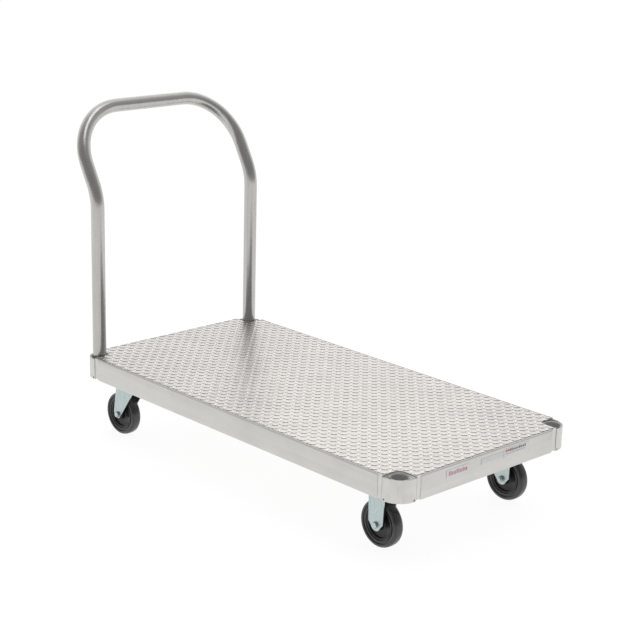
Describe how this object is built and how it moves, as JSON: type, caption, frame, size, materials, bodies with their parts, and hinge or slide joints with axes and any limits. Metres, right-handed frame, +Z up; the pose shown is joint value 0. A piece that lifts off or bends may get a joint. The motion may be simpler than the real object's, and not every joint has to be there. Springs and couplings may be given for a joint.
{
  "type": "platform cart",
  "caption": "Low aluminium platform cart with tread-plate deck, edge rails, open corner sockets, lift-out leaning tube handle, swivel casters at the handle end and rigid casters in front.",
  "frame": {"origin": "on the floor, at the middle of the whole cart's footprint including the handle that leans out past the rear end", "axes": "+Z up, +X towards the front end (the end away from the handle), +Y to the left of a person pushing"},
  "size_m": [1.3299, 0.6096, 0.8972],
  "materials": {
    "aluminium": "satin mill and extruded finish",
    "cast_aluminium": "fine sand-cast, lightly blasted",
    "zinc_plate": "bright bluish zinc plating on pressed steel",
    "wheel_core": "black moulded core",
    "tyre_rubber": "black rubber, slightly glossy",
    "label": "plain pale sticker"
  },
  "bodies": {
    "platform": {"deck_plate": "aluminium", "side_rail_right": "aluminium", "side_rail_left": "aluminium", "end_rail_front": "aluminium", "end_rail_rear": "aluminium", "cross_member_1": "aluminium", "cross_member_2": "aluminium", "cross_member_3": "aluminium", "caster_channel_front": "aluminium", "caster_channel_rear": "aluminium", "corner_front_right": "cast_aluminium", "corner_front_left": "cast_aluminium", "corner_rear_right": "cast_aluminium", "corner_rear_left": "cast_aluminium", "label_small": "label", "label_clear": "label", "label_marked": "label", "front_right_bracket": "zinc_plate", "front_right_axle_bolt": "zinc_plate", "front_right_axle_nut": "zinc_plate", "front_right_bush": "zinc_plate", "front_left_bracket": "zinc_plate", "front_left_axle_bolt": "zinc_plate", "front_left_axle_nut": "zinc_plate", "front_left_bush": "zinc_plate", "rear_right_top_plate": "zinc_plate", "rear_right_kingpin": "zinc_plate", "rear_right_upper_race": "zinc_plate", "rear_left_top_plate": "zinc_plate", "rear_left_kingpin": "zinc_plate", "rear_left_upper_race": "zinc_plate"},
    "handle": {"handle_tube": "aluminium"},
    "front_right_wheel": {"front_right_tyre": "tyre_rubber", "front_right_wheel_core": "wheel_core"},
    "front_left_wheel": {"front_left_tyre": "tyre_rubber", "front_left_wheel_core": "wheel_core"},
    "rear_right_swivel": {"rear_right_fork": "zinc_plate", "rear_right_lower_race": "zinc_plate", "rear_right_axle_bolt": "zinc_plate", "rear_right_axle_nut": "zinc_plate", "rear_right_bush": "zinc_plate"},
    "rear_right_wheel": {"rear_right_tyre": "tyre_rubber", "rear_right_wheel_core": "wheel_core"},
    "rear_left_swivel": {"rear_left_fork": "zinc_plate", "rear_left_lower_race": "zinc_plate", "rear_left_axle_bolt": "zinc_plate", "rear_left_axle_nut": "zinc_plate", "rear_left_bush": "zinc_plate"},
    "rear_left_wheel": {"rear_left_tyre": "tyre_rubber", "rear_left_wheel_core": "wheel_core"}
  },
  "joints": [
    {"name": "handle_lift", "type": "slide", "parent": "platform", "child": "handle", "axis": [0, 0, 1], "range_m": [0, 0.063]},
    {"name": "front_right_wheel_spin", "type": "hinge", "parent": "platform", "child": "front_right_wheel", "pos_m": [0.5363, -0.225, 0.0592], "axis": [0, 1, 0], "continuous": true},
    {"name": "front_left_wheel_spin", "type": "hinge", "parent": "platform", "child": "front_left_wheel", "pos_m": [0.5363, 0.225, 0.0592], "axis": [0, 1, 0], "continuous": true},
    {"name": "rear_right_swivel_turn", "type": "hinge", "parent": "platform", "child": "rear_right_swivel", "pos_m": [-0.4267, -0.2362, 0.1445], "axis": [0, 0, 1], "continuous": true},
    {"name": "rear_right_wheel_spin", "type": "hinge", "parent": "rear_right_swivel", "child": "rear_right_wheel", "pos_m": [-0.45908, -0.23733, 0.0592], "axis": [-0.0349, 0.9994, 0], "continuous": true},
    {"name": "rear_left_swivel_turn", "type": "hinge", "parent": "platform", "child": "rear_left_swivel", "pos_m": [-0.4267, 0.2362, 0.1445], "axis": [0, 0, 1], "continuous": true},
    {"name": "rear_left_wheel_spin", "type": "hinge", "parent": "rear_left_swivel", "child": "rear_left_wheel", "pos_m": [-0.45908, 0.23507, 0.0592], "axis": [-0.0349, 0.9994, 0], "continuous": true}
  ]
}
